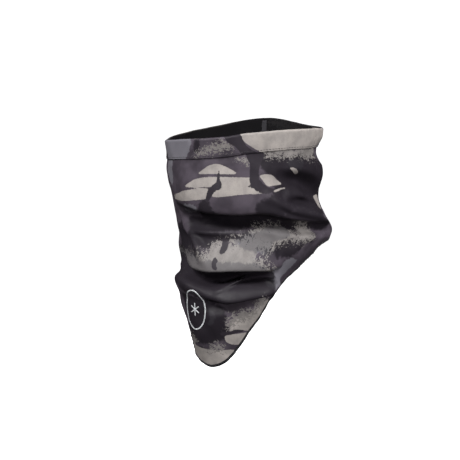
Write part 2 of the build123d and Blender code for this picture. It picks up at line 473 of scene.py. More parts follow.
def folded(name, edge, cols, width, thick, leaf_rows, fold_rows):
    """Strip folded over an edge: outer leaf, round fold, inner leaf."""
    inner_radius = LAYERS / 2 + LAYER_GAP / 2
    outer_radius = inner_radius + thick
    along = round_the_tube(cols)
    centre_height = inset(edge, along, outer_radius)
    centre = cloth(along, centre_height, MIDDLE)
    out = normal_of(worn, along, centre_height)
    ahead = np.gradient(centre, axis=0)
    over = unit(np.cross(out, ahead)) * (1 if edge is rim_height else -1)
    down_leaf = steps(width, outer_radius, leaf_rows)
    turns = steps(0, np.pi, fold_rows)

    def leaf(radius):
        return [cloth(along, inset(edge, along, d), MIDDLE + radius) for d in down_leaf]

    def bend(radius):
        return [centre + out * (radius * np.cos(t)) + over * (radius * np.sin(t)) for t in turns[1:-1]]

    def surface(radius):
        return np.array(leaf(radius) + bend(radius) + leaf(-radius)[::-1])

    bent = outer_radius * turns[1:-1]
    half = np.pi * outer_radius / 2
    up_leaf = down_leaf - outer_radius + half
    up_strip = np.concatenate([up_leaf, half - bent, -up_leaf[::-1]])
    places = np.zeros((len(up_strip), len(along), 3))
    places[..., 0] = along
    places[..., 1] = (up_strip[0] - up_strip)[:, None]
    outer, inner = surface(outer_radius), surface(inner_radius)
    return sheet_piece(name, outer, inner, places, turn=edge is rim_height)


def thread_ring(sides, radius):
    """Corners of a thread's section."""
    angles = [2 * math.pi * i / sides for i in range(sides)]
    return [(radius * math.cos(a), radius * math.sin(a)) for a in angles]


def stitches(name, paths, radius, sides=6):
    """Threads along paths of (point, outward) rows, each a small tube closed at both ends."""
    points, faces = [], []
    for path, outward in paths:
        ahead = unit(np.gradient(path, axis=0))
        across = unit(np.cross(ahead, outward))
        up = np.cross(across, ahead)
        start = len(points)
        for centre, a, b in zip(path, across, up):
            points += [centre + a * x + b * y for x, y in thread_ring(sides, radius)]
        for r in range(len(path) - 1):
            for i in range(sides):
                j = (i + 1) % sides
                low, high = start + r * sides, start + (r + 1) * sides
                faces.append((low + i, low + j, high + j, high + i))
        faces.append(tuple(start + i for i in range(sides))[::-1])
        faces.append(tuple(start + (len(path) - 1) * sides + i for i in range(sides)))
    return new_piece(name, np.array(points), faces)


STITCH_LENGTH, STITCH_GAP = 2.6, 0.8
STITCH_SINK = 0.4  # how far a stitch dives into the cloth at its ends
THREAD_RADIUS = 0.22


def running_row(name, edge, distance, face):
    """Separate stitches that follow an edge. Each arches out of the cloth's face and dives back in."""
    count = int(2 * HALF_GIRTH / (STITCH_LENGTH + STITCH_GAP))
    starts = steps(SEAM_ALONG - 2 * HALF_GIRTH, SEAM_ALONG, count)[:-1]
    share = steps(0, 1, 6)
    along = starts[:, None] + (STITCH_GAP / 2 + share * STITCH_LENGTH) / stretch(edge, starts)[:, None]
    arch = face + THREAD_RADIUS - STITCH_SINK * (1 - np.clip(np.sin(np.pi * share), 0, 1) ** 0.5)
    height = inset(edge, along, distance)
    points = cloth(along, height, np.broadcast_to(arch, along.shape))
    outward = normal_of(worn, along, height)
    return stitches(name, list(zip(points, outward)), THREAD_RADIUS)


# --- the print
# The camouflage is drawn on the flat cloth, in millimetres: along, and height or distance up the collar.
# An outline is a closed list of points, rounded at its corners. Each layer lies over the ones before it.
# Two layers also paint shade: the dark layer blackens the hollows, pockets and creases and the collar's
# inner leaf, and the haze layer greys the bark on the big roll's left end and underside.
SHELL_PRINT = {
    # Blue-grey patches of the print. Over the bark they turn it grey: print on most of it, painted shade
    # on the big roll's left end and underside.
    "haze_and_painted_shade": [
        [(-62, 90), (-30, 94), (-8, 92), (-8, 87), (-34, 88), (-46, 84), (-50, 60), (-60, 58), (-66, 72)],
        [(-37, 30), (-31, 26), (-14, 27), (-4, 38), (-2, 44), (-12, 47), (-29, 43)],
        [(6, -73), (10, -73), (14, -78), (13, -85), (10, -90), (4, -89), (9, -81)],
        [(101, 85), (112, 86), (127, 84), (121, 78), (117, 73), (110, 75), (101, 78)],
        [(70, -16), (84, -24), (97, -18), (106, -22), (94, -36), (80, -46), (68, -44), (72, -30)],
        [(27, 3), (39, 7), (53, 9), (72, 16), (96, 14), (86, 2), (72, 0), (66, -6), (52, -4), (41, -2)],
        # painted shade on the big roll's left end and underside
        [(-92, -14), (-30, -10), (-12, -11), (-3, -15), (10, -12), (40, -10.5), (62, -12), (68, -20),
         (40, -24), (-6, -30), (-30, -27), (-92, -22)],
        [(-30, -112), (-12, -117), (10, -120), (26, -119), (20, -128), (8, -144), (-8, -144),
         (-28, -128)],
    ],
    # Dark patches of the print, and painted shade: this layer also blackens the hollow under the slump,
    # the pockets under the rolls, the folds by the dent and creases.
    "dark_ink_and_painted_shade": [
        [(4, 52), (12, 53), (13, 49), (16, 44), (24, 38), (26, 20), (14, 12), (1, 12), (-14, 16),
         (-18, 26), (-1, 46)],
        # dark print on the wearer's left side, stretched down over the dent and its ridges as painted
        # shade
        [(63, 94), (96, 94), (120, 92), (150, 96), (176, 80), (176, 26), (150, 24), (122, 33), (101, 41),
         (84, 50), (78, 58), (88, 64), (70, 73)],
        [(-70, 12), (-48, 18), (-30, 4), (-26, -8), (-44, -12), (-66, -14)],
        # painted shade in the pocket under the big roll and on the lower roll
        [(-66, -38), (-48, -30), (-10, -38), (20, -42), (56, -38), (80, -40), (70, -56), (20, -66),
         (-16, -58), (-44, -48)],
        [(-24, -84), (0, -88), (20, -84), (28, -92), (22, -106), (-8, -112), (-28, -104)],
        # painted shade in the hollow under the slump
        [(-40, 22), (-19, 21), (6, 24), (24, 27), (49, 31), (75, 33), (97, 42), (130, 40), (153, 32),
         (174, 12), (150, 8), (110, 16), (75, 15), (49, 13), (24, 10), (6, 9), (-26, 6)],
        [(24, 6), (51, 13), (70, 20), (104, 22), (128, 16), (124, -4), (96, -5), (74, -9), (58, -4)],
        # painted shade on the big roll's underside and in the pocket below it
        [(-92, -10), (-30, -6), (-8, -6), (6, -12), (66, -11), (74, -24), (80, -38), (60, -44), (20, -48),
         (-20, -47), (-60, -42), (-92, -40)],
        # painted shade in the creases above the big roll
        [(-30, 12), (16, 10), (36, 9), (28, 3), (12, 0), (0, -6), (-26, -8)],
        [(74, -6), (90, -2), (114, -5), (106, -14), (90, -19), (76, -13)],
        # painted shade in the folds beside the dent
        [(60, 50), (78, 56), (100, 60), (120, 54), (112, 42), (84, 37), (62, 38)],
        [(-34, -56), (0, -62), (16, -68), (26, -74), (24, -90), (10, -96), (-20, -94), (-30, -78)],
        [(-30, -108), (-12, -114), (10, -118), (26, -116), (20, -128), (8, -144), (-8, -144),
         (-28, -128)],
    ],
    "leaf": [
        [(-3, 71), (4, 75), (12, 80), (22, 82), (33, 78), (45, 72), (21, 72)],
        [(-22, 60), (-6, 67), (7, 69), (33, 70), (60, 69), (66, 63), (80, 58), (50, 58), (13, 54),
         (18, 62), (1, 61)],
        [(-56, 45), (-50, 50), (-31, 54), (-22, 57), (-3, 60), (14, 61), (12, 53), (-11, 50), (-30, 46)],
        [(65, 70), (72, 71), (80, 70), (85, 65), (94, 59), (74, 61), (70, 65)],
        [(80, 57.5), (98, 56.3), (98, 55), (82, 56)],
        [(100, 77), (108, 77), (116, 71), (113, 68)],
        [(154, 44), (168, 46), (176, 38), (170, 28), (161, 34)],
        [(34, -81), (42, -80), (55, -75), (66, -66), (76, -62), (72, -76), (64, -88), (53, -97),
         (34, -94), (26, -97)],
        [(21, -101), (30, -99), (51, -98), (46, -106), (37, -111), (29, -111), (22, -108)],
        [(-30, -108), (-18, -113), (-4, -116), (14, -117), (28, -116), (33, -119), (24, -130), (8, -144),
         (-8, -144), (-30, -126)],
    ],
    "bark": [
        [(68, 96), (98, 98), (150, 99), (164, 95), (160, 88), (140, 85), (119, 89), (98, 87), (78, 88)],
        [(43, 88), (52, 88), (58, 84), (55, 82), (50, 84)],
        [(-92, -17), (-60, -14), (-28, -12), (-10, -12), (2, -9), (4, -3), (10, 1), (16, 2), (22, 0),
         (30, 4), (39, 5), (47, 8), (50, 14), (74, 17), (88, 17), (93, 9), (104, 8), (108, 16), (117, 19),
         (126, 15), (131, 8), (122, 0), (111, -3), (90, 0), (75, -5), (67, -6), (54, -3), (54, -7),
         (60, -10), (72, -16), (70, -24), (40, -26), (12, -24), (-4, -29), (-14, -29), (-26, -22),
         (-50, -19), (-92, -19)],
        [(24, -95), (26, -86), (31, -79), (38, -75), (55, -71), (62, -66), (64, -51), (76, -58),
         (66, -72), (40, -86)],
        [(0, -118), (6, -112), (11, -109), (16, -111), (20, -117), (10, -119)],
        [(-30, -99), (-20, -102), (-12, -110), (-20, -112), (-30, -110)],
    ],
    "branch": [
        [(22, 75), (24, 75), (24, 68), (27, 65), (26, 61), (21, 60), (17, 57), (12, 51), (8, 51),
         (10, 59), (16, 63), (21, 66)],
        [(53, 94), (74, 94), (73, 88), (68, 81), (65, 73), (65, 67), (72, 62), (84, 57), (72, 57),
         (61, 60), (55, 65), (56, 74), (57, 82), (54, 88)],
        [(52, 63), (60, 64), (72, 61), (62, 61)],
        [(4, 62), (22, 62), (22, 61), (2, 61)],
        [(-46, 54), (-44, 54), (-45, 45), (-47, 46)],
        [(16, 5), (22, 4), (24, 0), (23, -4), (20, -7), (15, -6), (17, -2)],
        [(12, -9), (17, -11), (15, -14), (18, -18), (12, -19), (10, -14)],
        [(17, -97), (30, -96), (33, -94), (43, -95), (45, -97), (34, -98), (29, -100), (17, -101)],
    ],
}
COLLAR_PRINT = {
    "haze_and_painted_shade": [
        [(-110, 30), (-80, 30), (-40, 30), (-14, 28), (-8, 17), (-14, 6), (-20, -3), (-110, -6)],
        [(186, 30), (190, 18), (204, 8), (200, -6), (176, -8), (170, 10)],
        [(160, 24), (300, 24), (300, 44), (160, 44)],
    ],
    "dark_ink_and_painted_shade": [
        [(-5, 19), (3, 22), (2, 8), (-2, 6), (-9, 7), (-5, 12)],
        # painted shade all round the collar's inner leaf
        [(-250, 23), (-110, 24), (60, 24), (200, 24), (304, 23), (304, 60), (-250, 60)],
    ],
    "leaf": [
        [(44, 23), (50, 14), (56, 9), (66, 2), (76, -2), (94, -4), (150, -4), (176, 2), (182, 23),
         (90, 25)],
    ],
    "bark": [
        [(3, 9), (14, 13), (30, 18), (38, 14), (40, 9), (30, 8), (16, 6), (2, 3), (-4, 3), (-2, 6)],
        [(176, 26), (200, 24), (235, 26), (262, 24), (290, 25), (290, 33), (262, 34), (230, 31),
         (200, 33)],
    ],
    "branch": [
        [(28, 26), (46, 26), (50, 15), (54, 8), (60, 3), (67, -1), (70, -5), (50, -5), (48, 2), (43, 9),
         (34, 15)],
        [(188, 34), (200, 26), (206, 10), (218, -4), (202, -4), (192, 8)],
    ],
}


def rounded(outline, rounds=2, cut=0.18):
    """Cuts the corners of a closed outline."""
    points = np.array(outline, float)
    for _ in range(rounds):
        after = np.roll(points, -1, axis=0)
        near, far = (1 - cut) * points + cut * after, cut * points + (1 - cut) * after
        points = np.stack([near, far], 1).reshape(-1, 2)
    return points


def depth_in(outline, places):
    """Distance of each place from an outline, in millimetres: positive inside it."""
    points = rounded(outline)
    after = np.roll(points, -1, axis=0)
    nearest = np.full(len(places), 1e9)
    crossings = np.zeros(len(places), int)
    for (ax, ay), (bx, by) in zip(points, after):
        edge = np.array([bx - ax, by - ay])
        rel = places - (ax, ay)
        t = np.clip(rel @ edge / max(edge @ edge, 1e-9), 0, 1)
        nearest = np.minimum(nearest, np.hypot(*(rel - t[:, None] * edge).T))
        spans = (ay > places[:, 1]) != (by > places[:, 1])
        if ay != by:
            crossings += spans & (places[:, 0] < ax + (places[:, 1] - ay) * (bx - ax) / (by - ay))
    return np.where(crossings % 2 == 1, nearest, -nearest)


FAR_OUTSIDE = -30.0
REPEAT = 272.0  # the print starts again this far along


def print_on(piece, places, drawing):
    """Stores how deep each point lies in each layer of the print."""
    flat = places.reshape(-1, 3)[:, :2].astype(float)
    for layer, outlines in drawing.items():
        depth = np.full(len(flat), FAR_OUTSIDE)
        for outline, by in itertools.product(outlines, (-REPEAT, 0, REPEAT)):
            outline = np.array(outline, float) + (by, 0)
            low, high = outline.min(axis=0) + FAR_OUTSIDE, outline.max(axis=0) - FAR_OUTSIDE
            near = np.all((flat > low) & (flat < high), axis=1)
            if near.any():
                depth[near] = np.maximum(depth[near], depth_in(outline, flat[near]))
        note_value(piece, layer, np.concatenate([depth, depth]))


# --- materials
WAVE_SCALE = 0.314  # a wave texture of this scale repeats once in a unit


class Nodes:
    """Short calls for a material's nodes."""

    def __init__(self, name):
        self.material = bpy.data.materials.new(name)
        self.material.use_nodes = True
        self.tree = self.material.node_tree
        self.shader = self.tree.nodes["Principled BSDF"]

    def set(self, **values):
        """Sets the shader's constants, with _ for each space in a socket's name."""
        for name, value in values.items():
            self.shader.inputs[name.replace("_", " ")].default_value = value

    def put(self, socket, value):
        """Links a node's output to a socket, or gives the socket a constant."""
        if isinstance(value, bpy.types.NodeSocket):
            self.tree.links.new(value, socket)
        else:
            socket.default_value = value

    def to_shader(self, name, value):
        self.put(self.shader.inputs[name], value)

    def node(self, kind, inputs, **settings):
        """Outputs of a new node, whose inputs go by name or number."""
        node = self.tree.nodes.new("ShaderNode" + kind)
        for name, value in settings.items():
            setattr(node, name, value)
        for socket, value in inputs.items():
            self.put(node.inputs[socket], value)
        return node.outputs

    def attribute(self, name, output="Fac"):
        return self.node("Attribute", {}, attribute_name=name)[output]

    def cloth_place(self, stretch_along=1.0):
        """Place on the flat cloth in millimetres. A scale under 1 draws a texture out along the cloth."""
        inputs = {0: self.attribute("cloth", "Vector"), 1: (stretch_along, 1.0, 1.0)}
        return self.node("VectorMath", inputs, operation="MULTIPLY")["Vector"]

    def noise(self, place, size, detail=3.0, roughness=0.6, distortion=0.0):
        """Noise from 0 to 1 whose blotches are about size across, in the units of place."""
        inputs = {"Vector": place, "Scale": 1.0 / size, "Detail": detail}
        inputs.update({"Roughness": roughness, "Distortion": distortion})
        return self.node("TexNoise", inputs)["Fac"]

    def wave(self, place, size, direction):
        """Soft bands across a direction, one in every size."""
        inputs = {"Vector": place, "Scale": WAVE_SCALE / size, "Distortion": 0.6, "Detail": 1.0}
        return self.node("TexWave", inputs, bands_direction=direction)["Fac"]

    def math(self, operation, *values):
        return self.node("Math", dict(enumerate(values)), operation=operation)[0]

    def ramp(self, value, low, high, to_low=0.0, to_high=1.0, smooth=True):
        """Maps a value from one range to another, held at both ends."""
        inputs = dict(enumerate((value, low, high, to_low, to_high)))
        kind = "SMOOTHSTEP" if smooth else "LINEAR"
        return self.node("MapRange", inputs, interpolation_type=kind)["Result"]

    def mix(self, share, below, above):
        """One colour over another."""
        inks = [c if isinstance(c, bpy.types.NodeSocket) else (*c, 1.0) for c in (below, above)]
        return self.node("Mix", {"Factor": share, 6: inks[0], 7: inks[1]}, data_type="RGBA")[2]

    def bump(self, height, distance, strength=1.0, under=None):
        """Relief of this depth in metres, over any finer relief under it."""
        inputs = {"Strength": strength, "Distance": distance, "Height": height}
        if under is not None:
            inputs["Normal"] = under
        return self.node("Bump", inputs)["Normal"]


def knit_face(m, size=0.55):
    """Height of a fine knitted face: wales that run up the cloth, and the stitches along them."""
    place = m.cloth_place()
    wales = m.wave(place, size, "X")
    courses = m.wave(place, size * 1.3, "Y")
    return m.math("ADD", m.math("MULTIPLY", wales, 0.6), m.math("MULTIPLY", courses, 0.4))


# Colours of the print's inks, linear, and of the shade painted into its folds and inside the collar.
BASE = (0.100, 0.083, 0.104)
BASE_DEEP = (0.060, 0.050, 0.063)
HAZE = (0.22, 0.212, 0.24)
# dark ink, also the colour of the painted shade in the folds and inside the collar
DARK_INK_AND_PAINTED_SHADE = (0.018, 0.0148, 0.0195)
BEIGE = (0.44, 0.40, 0.375)
BEIGE_DULL = (0.35, 0.32, 0.305)
BARK = (0.23, 0.212, 0.204)
BARK_PALE = (0.29, 0.268, 0.257)
# grey bark, also the colour of the painted shade on the big roll's left end and underside
BARK_GREY = (0.125, 0.117, 0.122)
BRANCH = (0.033, 0.0275, 0.035)
INNER_PAINTED_SHADE = (0.003, 0.0027, 0.0033)  # painted shade on the collar's inner leaf, nearly black
# how fully the painted shade covers the inner leaf, and how much rougher that leaf is
INNER_SHARE, INNER_ROUGHER = 0.93, 0.5
TEAR_REACH = 38.0  # how far the noise pushes a torn edge about, in millimetres for its whole range


def printed_shell():
    """Camouflage print on a smooth softshell knit, with painted shade in its folds and inside the collar.
    """
    m = Nodes("printed softshell")
    place = m.cloth_place()
    inner_leaf = m.attribute("inner")
    coarse = m.noise(place, 22.0, 2.0)
    ragged = m.noise(place, 5.0, 4.0, 0.65, 0.4)
    fine = m.noise(place, 1.9, 3.0, 0.7)
    torn = m.noise(m.cloth_place(0.75), 2.3, 4.0, 0.62, 1.1)

    def edge(layer, noise, reach, soft):
        """1 inside a layer, with its outline pushed about by a noise of this reach."""
        pushed = m.math("MULTIPLY_ADD", m.math("SUBTRACT", noise, 0.5), reach, m.attribute(layer))
        return m.ramp(pushed, -soft, soft)

    colour = m.mix(m.ramp(coarse, 0.35, 0.65), BASE, BASE_DEEP)
    haze_and_painted_shade = m.math("MULTIPLY", edge("haze_and_painted_shade", ragged, 7.0, 0.8), 0.85)
    colour = m.mix(haze_and_painted_shade, colour, HAZE)
    # the dark layer: dark print patches, and painted shade in the hollows, pockets and creases
    dark_ink_and_painted_shade = m.math("MULTIPLY", edge("dark_ink_and_painted_shade", ragged, 9.0, 1.8), 0.92)
    colour = m.mix(dark_ink_and_painted_shade, colour, DARK_INK_AND_PAINTED_SHADE)
    patches = m.ramp(m.noise(place, 9.0, 4.0), 0.35, 0.7)
    beige = m.mix(patches, BEIGE, BEIGE_DULL)
    colour = m.mix(edge("leaf", fine, 1.5, 0.22), colour, beige)
    inside = m.math("MULTIPLY_ADD", m.math("SUBTRACT", torn, 0.5), TEAR_REACH, m.attribute("bark"))
    bark = m.ramp(inside, -0.4, 0.4)
    flecks = m.ramp(m.noise(m.cloth_place(0.7), 2.4, 5.0, 0.78, 0.6), 0.585, 0.615)
    near_edge = m.ramp(m.attribute("bark"), 10.0, 1.0)
    bark = m.math("MULTIPLY", bark, m.math("SUBTRACT", 1.0, m.math("MULTIPLY", flecks, near_edge)))
    # bark goes grey under the haze layer, which on the big roll's left end and underside is painted shade
    bark_tone = m.mix(haze_and_painted_shade, m.mix(patches, BARK, BARK_PALE), BARK_GREY)
    colour = m.mix(bark, colour, bark_tone)
    colour = m.mix(edge("branch", fine, 2.2, 0.25), colour, BRANCH)
    grain = m.noise(place, 0.7, 2.0)
    colour = m.mix(m.math("MULTIPLY", m.ramp(grain, 0.35, 0.65, smooth=False), 0.14), colour, DARK_INK_AND_PAINTED_SHADE)
    # painted shade: the collar's inner leaf goes nearly black
    colour = m.mix(m.math("MULTIPLY", inner_leaf, INNER_SHARE), colour, INNER_PAINTED_SHADE)
    m.to_shader("Base Color", colour)
    roughness = m.ramp(m.noise(place, 14.0, 3.0), 0.3, 0.7, 0.46, 0.56)
    m.to_shader("Roughness", m.math("MULTIPLY_ADD", inner_leaf, INNER_ROUGHER, roughness))
    m.set(Specular_IOR_Level=0.3)
    weave = m.bump(knit_face(m), 0.00006, 0.6)
    m.to_shader("Normal", m.bump(m.noise(place, 4.0, 3.0), 0.0005, 0.35, weave))
    return m.material


def brushed_fleece():
    """Short dark pile in soft tufts."""
    m = Nodes("brushed fleece")
    place = m.cloth_place()
    tufts = m.noise(place, 2.2, 5.0, 0.75, 1.0)
    colour = m.mix(m.ramp(tufts, 0.3, 0.75), (0.016, 0.0155, 0.018), (0.062, 0.058, 0.066))
    m.to_shader("Base Color", colour)
    m.set(Roughness=0.95, Specular_IOR_Level=0.15, Sheen_Weight=0.2, Sheen_Roughness=0.6)
    m.to_shader("Normal", m.bump(tufts, 0.0022, 1.0, m.bump(m.noise(place, 0.7, 3.0), 0.0006, 0.9)))
    return m.material


def ribbed_binding():
    """Dark elastic strip with ribs that run along it."""
    m = Nodes("ribbed binding")
    place = m.cloth_place()
    ribs = m.wave(place, 0.9, "Y")
    threads = m.wave(place, 0.5, "X")
    height = m.math("ADD", m.math("MULTIPLY", ribs, 0.7), m.math("MULTIPLY", threads, 0.3))
    colour = m.mix(m.ramp(height, 0.1, 0.9), (0.006, 0.006, 0.007), (0.022, 0.02, 0.024))
    m.to_shader("Base Color", colour)
    m.set(Roughness=0.6, Specular_IOR_Level=0.35, Sheen_Weight=0.15, Sheen_Roughness=0.5)
    m.to_shader("Normal", m.bump(height, 0.00018, 0.8))
    return m.material


def seam_tape():
    """Soft grey knitted tape."""
    m = Nodes("knitted seam tape")
    height = knit_face(m, 0.8)
    colour = m.mix(m.ramp(height, 0.1, 0.9), (0.016, 0.015, 0.018), (0.04, 0.037, 0.044))
    m.to_shader("Base Color", colour)
    m.set(Roughness=0.7, Specular_IOR_Level=0.3, Sheen_Weight=0.2)
    m.to_shader("Normal", m.bump(height, 0.0002, 0.8))
    return m.material


THREAD_MOTTLE = 0.0006


def sewing_thread(name, colour):
    """Thread with a fine mottle, made by a noise in the object's own coordinates, which are metres."""
    m = Nodes(name)
    mottle = m.noise(m.node("TexCoord", {})["Object"], THREAD_MOTTLE, 2.0)
    m.to_shader("Base Color", m.mix(m.ramp(mottle, 0.35, 0.65), tuple(0.6 * c for c in colour), colour))
    m.set(Roughness=0.5, Specular_IOR_Level=0.5, Sheen_Weight=0.1)
    m.to_shader("Normal", m.bump(mottle, 0.0001, 0.5))
    return m.material


def transfer_print():
    """Pale film pressed on to the cloth, which shows the knit through it."""
    m = Nodes("reflective transfer print")
    place = m.cloth_place()
    speckle = m.noise(place, 0.5, 3.0)
    m.to_shader("Base Color", m.mix(m.ramp(speckle, 0.3, 0.7), (0.66, 0.68, 0.70), (0.82, 0.84, 0.86)))
    m.set(Roughness=0.38, Specular_IOR_Level=0.5)
    m.to_shader("Normal", m.bump(knit_face(m), 0.00005, 0.5))
    return m.material


# --- pieces
SHELL_COLS, SHELL_ROWS = ((300, 160))
LINING_COLS, LINING_ROWS = ((240, 120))
BAND_COLS = 420
HEM_COLS = 480
LINING_SMOOTHINGS = 6
FOLD_CLEAR = 4.0  # the lining keeps inside everything that the shell does within this height


def lining_face(along, height, dense):
    """The lining's outer face, which bridges the shell's folds on their inner side."""
    rows = even_heights(along, EDGE_IN_BAND, EDGE_IN_BINDING, dense)
    worn_points = worn(np.broadcast_to(along, rows.shape), rows)
    level = worn_points[..., 2]
    places = np.broadcast_to(along, rows.shape)
    stands = ((worn_points - skin(places, level)) * normal_of(skin, places, level)).sum(-1)
    inner = np.full(height.shape, 1e9)
    for row_level, row_stands in zip(level, stands):
        close = np.abs(row_level - height) < FOLD_CLEAR
        inner = np.where(close, np.minimum(inner, row_stands), inner)
    inner = np.minimum(inner, np.minimum(np.roll(inner, 1, 1), np.roll(inner, -1, 1)))
    for _ in range(LINING_SMOOTHINGS):
        padded = np.pad(inner, 1, mode="edge")
        around = padded[:-2, 1:-1] + padded[2:, 1:-1] + padded[1:-1, :-2] + padded[1:-1, 2:]
        inner = 0.5 * inner + 0.125 * around
    inner = inner - SHELL_THICK - LAYER_GAP
    places = np.broadcast_to(along, height.shape)
    return skin(places, height) + normal_of(skin, places, height) * inner[..., None]


def make_lining():
    """Fleece inside the shell, from under the collar band to inside the hem binding."""
    along = round_the_tube(LINING_COLS)
    share = steps(0, 1, LINING_ROWS)[:, None]
    top, bottom = inset(rim_height, along, EDGE_IN_BAND), inset(hem_height, along, EDGE_IN_BINDING)
    height = (1 - share) * top + share * bottom
    outer = lining_face(along, height, 4 * LINING_ROWS)
    inward = unit(np.cross(np.gradient(outer, axis=1), np.gradient(outer, axis=0)))
    places = np.stack([np.broadcast_to(along, height.shape), height, 0 * height], -1)
    return sheet_piece("gaiter_fleece_lining", outer, outer + inward * FLEECE_THICK, places)


def thick_patch(name, flat, faces, centre, low, high):
    """Closed patch on the cloth, of flat points (sideways, up) about a centre, between two levels."""
    flat = np.array(flat, float)
    along, height = centre[0] + flat[:, 0], centre[1] + flat[:, 1]
    count = len(flat)
    points = np.concatenate([cloth(along, height, high), cloth(along, height, low)])
    edges = {}
    for face in faces:
        for a, b in zip(face, face[1:] + face[:1]):
            edges[(a, b)] = edges.get((a, b), 0) + 1
    walls = [(b, a, a + count, b + count) for a, b in edges if (b, a) not in edges]
    under = [tuple(i + count for i in face[::-1]) for face in faces]
    smooth = [True] * (2 * len(faces)) + [False] * len(walls)
    piece = new_piece(name, points, [*faces, *under, *walls], smooth)
    note_cloth(piece, np.stack([np.tile(along, 2), np.tile(height, 2), np.zeros(2 * count)], -1))
    return piece


EMBLEM_WIDTH, EMBLEM_TALL, EMBLEM_LINE, EMBLEM_STAR = 30.0, 44.0, 1.3, 14.0
EMBLEM_PLACE = (-12.0, -74.0)
EMBLEM_LOW, EMBLEM_HIGH = 0.02, 0.28


def make_emblem():
    """Generic mark: an upright oval ring round a star of three crossed bars, printed thick."""
    flat, faces = [], []
    turns, across = 96, 3
    for i in range(turns):
        angle = 2 * math.pi * i / turns
        for j in range(across + 1):
            inward = EMBLEM_LINE * j / across
            half_wide, half_tall = EMBLEM_WIDTH / 2 - inward, EMBLEM_TALL / 2 - inward
            flat.append((half_wide * math.sin(angle), half_tall * math.cos(angle)))
    for i in range(turns):
        a, b = i * (across + 1), (i + 1) % turns * (across + 1)
        faces += [(a + j, a + j + 1, b + j + 1, b + j) for j in range(across)]
    start, arms, stations = len(flat), 6, 5
    for i in range(arms):
        between_arms = math.pi / arms * (2 * i + 1)
        flat.append((EMBLEM_LINE * math.sin(between_arms), EMBLEM_LINE * math.cos(between_arms)))
    faces.append(tuple(start + arms - 1 - i for i in range(arms)))
    for i in range(arms):
        way = 2 * math.pi * i / arms
        left, right = start + (i - 1) % arms, start + i
        for reach in np.linspace(EMBLEM_LINE, EMBLEM_STAR / 2, stations)[1:]:
            for side in (-EMBLEM_LINE / 2, EMBLEM_LINE / 2):
                flat.append((
                    reach * math.sin(way) + side * math.cos(way),
                    reach * math.cos(way) - side * math.sin(way),
                ))
            new_left, new_right = len(flat) - 2, len(flat) - 1
            faces.append((left, right, new_right, new_left))
            left, right = new_left, new_right
    return thick_patch("gaiter_chest_emblem", flat, faces, EMBLEM_PLACE, EMBLEM_LOW, EMBLEM_HIGH)


def seam_heights(top, bottom, spacing):
    """Heights down the back seam, about this far apart."""
    return steps(top, bottom, int((top - bottom) / spacing))


FLATLOCK_HALF = 2.0
FLATLOCK_PITCH = 1.5
FLATLOCK_STITCH, FLATLOCK_STEP = 2.2, 2.8  # length of a stitch, and from one stitch to the next
FLATLOCK_ZIGZAG, FLATLOCK_LOW, FLATLOCK_ARCH = 0.22, 0.1, 0.32  # levels of the threads over the cloth
FLATLOCK_THREAD = 0.18
SEAM_END_GAP = 1.0


def make_flatlock():
    """Cover stitches down the back seam: two rows of stitches joined by a zigzag thread."""
    top = float(inset(rim_height, SEAM_ALONG, BAND_WIDTH + SEAM_END_GAP))
    bottom = float(inset(hem_height, SEAM_ALONG, BINDING_WIDTH + SEAM_END_GAP))
    turns = seam_heights(top, bottom, FLATLOCK_PITCH / 2)
    sides = np.where(np.arange(len(turns)) % 2, FLATLOCK_HALF, -FLATLOCK_HALF)
    share = np.linspace(0, len(turns) - 1, 4 * len(turns))
    height = np.interp(share, np.arange(len(turns)), turns)
    sideways = np.interp(share, np.arange(len(turns)), sides)
    zigzag = cloth(SEAM_ALONG + sideways, height, FLATLOCK_ZIGZAG)
    paths = [(zigzag, normal_of(worn, SEAM_ALONG + sideways, height))]
    for side in (-FLATLOCK_HALF, FLATLOCK_HALF):
        for start in seam_heights(top, bottom, FLATLOCK_STEP)[:-1]:
            run = start - steps(0, 1, 6) * FLATLOCK_STITCH
            arch = FLATLOCK_LOW + FLATLOCK_ARCH * np.sin(np.pi * steps(0, 1, 6)) ** 0.5
            along = np.full(len(run), SEAM_ALONG + side)
            paths.append((cloth(along, run, arch), normal_of(worn, along, run)))
    return stitches("gaiter_back_seam_flatlock", paths, FLATLOCK_THREAD)


TAPE_WIDTH, TAPE_THICK, TAPE_ROW = 6.0, 0.4, 1.5
TAPE_RIM_GAP = 3.0
TAPE_STEP = 5.0  # the height in which the tape steps off the collar's leaf
TAPE_OFF_FLEECE = 0.5  # the tape rides on the pile
TAPE_TO_HEM = 8.0  # the height in which it sinks back to the cloth's inner face


def make_seam_tape():
    """Knitted tape inside the back seam. It steps off the collar's inner leaf on to the fleece."""
    top = float(inset(rim_height, SEAM_ALONG, TAPE_RIM_GAP))
    bottom = float(inset(hem_height, SEAM_ALONG, BINDING_WIDTH + SEAM_END_GAP))
    height = seam_heights(top, bottom, TAPE_ROW)
    on_fleece = -LAYERS - LAYER_GAP - TAPE_OFF_FLEECE
    on_band = -LAYERS - BAND_THICK - 1.5 * LAYER_GAP
    step = smooth_step((top + TAPE_RIM_GAP - BAND_WIDTH - height) / TAPE_STEP)
    level = on_band + (on_fleece - on_band) * step
    near_hem = smooth_step((bottom + TAPE_TO_HEM - height) / TAPE_TO_HEM)
    level = level + (-LAYERS - LAYER_GAP - level) * near_hem
    sideways = steps(-TAPE_WIDTH / 2, TAPE_WIDTH / 2, 6)
    along = SEAM_ALONG + sideways[None, :] + 0 * height[:, None]
    rows = height[:, None] + 0 * along
    depth = level[:, None] + 0 * along
    places = np.stack([along, rows, 0 * along], -1)
    return sheet_piece(
        "gaiter_back_seam_tape", cloth(along, rows, depth), cloth(along, rows, depth - TAPE_THICK), places
    )


